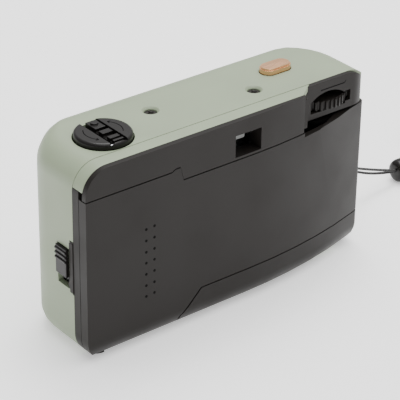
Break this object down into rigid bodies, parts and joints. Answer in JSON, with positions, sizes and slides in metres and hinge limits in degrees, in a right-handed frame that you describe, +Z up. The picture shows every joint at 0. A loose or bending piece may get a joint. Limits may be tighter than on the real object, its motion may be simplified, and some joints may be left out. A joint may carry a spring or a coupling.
{
  "type": "half frame camera",
  "caption": "Compact half frame film camera seen from the back: pale green case, black rear door, rewind knob, shutter button, thumbwheel and wrist cord.",
  "frame": {"origin": "middle of the flat base, on the surface the camera stands on", "axes": "+Z up, -Y where the lens looks, +X the end with the cartridge and the rewind knob"},
  "size_m": [0.1949, 0.052, 0.064],
  "materials": {
    "green_plastic": "satin",
    "black_plastic": "satin",
    "inner_plastic": "matte",
    "grey_plastic": "satin",
    "copper_plate": "satin",
    "clear_glass": "clear",
    "clear_plastic": "clear",
    "steel": "brushed",
    "bright_metal": "polished",
    "contact_metal": "satin",
    "cell_wrap": "gloss",
    "board_green": "gloss",
    "black_foam": "matte",
    "black_cord": "woven"
  },
  "bodies": {
    "camera": {"front_cover": "green_plastic", "top_band": "green_plastic", "rear_frame": "black_plastic", "hinge_pin": "steel", "chassis": "inner_plastic", "cartridge_chamber": "inner_plastic", "light_box": "inner_plastic", "case_screws": "steel", "ratchet_pawl": "steel", "counter_pin": "steel", "counter_window": "clear_plastic", "lens_barrel": "black_plastic", "front_lens": "clear_glass", "rear_lens": "clear_glass", "shutter_board": "inner_plastic", "blade_pivot": "steel", "aperture_stop": "black_plastic", "lever_pivot": "steel", "button_spring": "steel", "finder_tube": "inner_plastic", "finder_objective": "clear_glass", "eyepiece_lens": "clear_glass", "flash_window": "clear_plastic", "flash_reflector": "bright_metal", "flash_tube": "clear_plastic", "flash_board": "board_green", "flash_capacitor": "cell_wrap", "battery": "cell_wrap", "battery_contact": "contact_metal", "battery_spring": "steel", "latch_guide": "black_plastic", "latch_spring": "steel", "release_spring": "steel", "blade_spring": "steel", "strap_lug": "steel", "strap_loop": "black_cord", "strap_lock": "grey_plastic", "wrist_lead": "black_cord", "wrist_coil": "black_cord", "strap_tie": "black_cord"},
    "back_door": {"back_door": "black_plastic", "door_seal": "black_foam", "pressure_plate": "inner_plastic", "pressure_spring": "steel"},
    "latch_slider": {"latch_slider": "black_plastic"},
    "battery_cover": {"battery_cover": "black_plastic"},
    "rewind_knob": {"rewind_knob": "grey_plastic", "crank_pin": "steel", "rewind_fork": "grey_plastic"},
    "rewind_crank": {"rewind_crank": "grey_plastic"},
    "shutter_button": {"shutter_button": "copper_plate"},
    "release_lever": {"release_lever": "inner_plastic"},
    "shutter_blade": {"shutter_blade": "black_plastic"},
    "lens_ring": {"lens_ring": "black_plastic"},
    "film_advance": {"thumbwheel": "black_plastic", "take_up_spool": "inner_plastic"},
    "sprocket_roller": {"sprocket_roller": "inner_plastic"},
    "counter_dial": {"counter_dial": "grey_plastic"},
    "rewind_release": {"rewind_release": "grey_plastic"}
  },
  "joints": [
    {"name": "door_hinge", "type": "hinge", "parent": "camera", "child": "back_door", "pos_m": [-0.0533, 0.00365, 0.03], "axis": [0, 0, 1], "range_deg": [0, 95]},
    {"name": "latch_slide", "type": "slide", "parent": "camera", "child": "latch_slider", "axis": [0, 0, -1], "range_m": [0, 0.0025], "stiffness_N_per_m": 300, "springref_m": -0.001, "deforming": ["latch_spring"]},
    {"name": "cover_slide", "type": "slide", "parent": "camera", "child": "battery_cover", "axis": [0, 1, 0], "range_m": [0, 0.012]},
    {"name": "rewind_turn", "type": "hinge", "parent": "camera", "child": "rewind_knob", "pos_m": [0.037, 0.0035, 0.0625], "axis": [0, 0, 1], "continuous": true},
    {"name": "crank_fold", "type": "hinge", "parent": "rewind_knob", "child": "rewind_crank", "pos_m": [0.037, 0.0099, 0.06225], "axis": [-1, 0, 0], "range_deg": [0, 90]},
    {"name": "button_press", "type": "slide", "parent": "camera", "child": "shutter_button", "axis": [0, 0, -1], "range_m": [0, 0.0012], "stiffness_N_per_m": 600, "springref_m": -0.0008, "deforming": ["button_spring"]},
    {"name": "lever_turn", "type": "hinge", "parent": "camera", "child": "release_lever", "pos_m": [-0.0135, -0.0099, 0.0425], "axis": [0, -1, 0], "range_deg": [0, 4.6]},
    {"name": "blade_swing", "type": "hinge", "parent": "camera", "child": "shutter_blade", "pos_m": [-0.011, -0.0074, 0.0365], "axis": [0, 1, 0], "range_deg": [0, 45], "stiffness_Nm_per_rad": 0.0005, "springref_deg": -17.19},
    {"name": "ring_turn", "type": "hinge", "parent": "camera", "child": "lens_ring", "pos_m": [-0.003, -0.0165, 0.0315], "axis": [0, -1, 0], "range_deg": [0, 30]},
    {"name": "wheel_turn", "type": "hinge", "parent": "camera", "child": "film_advance", "pos_m": [-0.0395, 0.004, 0.0529], "axis": [0, 0, 1], "continuous": true},
    {"name": "sprocket_turn", "type": "hinge", "parent": "camera", "child": "sprocket_roller", "pos_m": [-0.0208, 0.0065, 0.0315], "axis": [0, 0, 1], "continuous": true},
    {"name": "counter_turn", "type": "hinge", "parent": "camera", "child": "counter_dial", "pos_m": [-0.0405, -0.0035, 0.0027], "axis": [0, 0, 1], "continuous": true},
    {"name": "rewind_unlock", "type": "slide", "parent": "camera", "child": "rewind_release", "axis": [0, 0, 1], "range_m": [0, 0.001], "stiffness_N_per_m": 300, "springref_m": -0.001, "deforming": ["release_spring"]}
  ],
  "couplings": [
    {"joint": "lever_turn", "follows": "button_press", "rad_per_m": 66},
    {"joint": "sprocket_turn", "follows": "wheel_turn", "ratio": 0.661},
    {"joint": "counter_turn", "follows": "wheel_turn", "ratio": 0.0165}
  ]
}
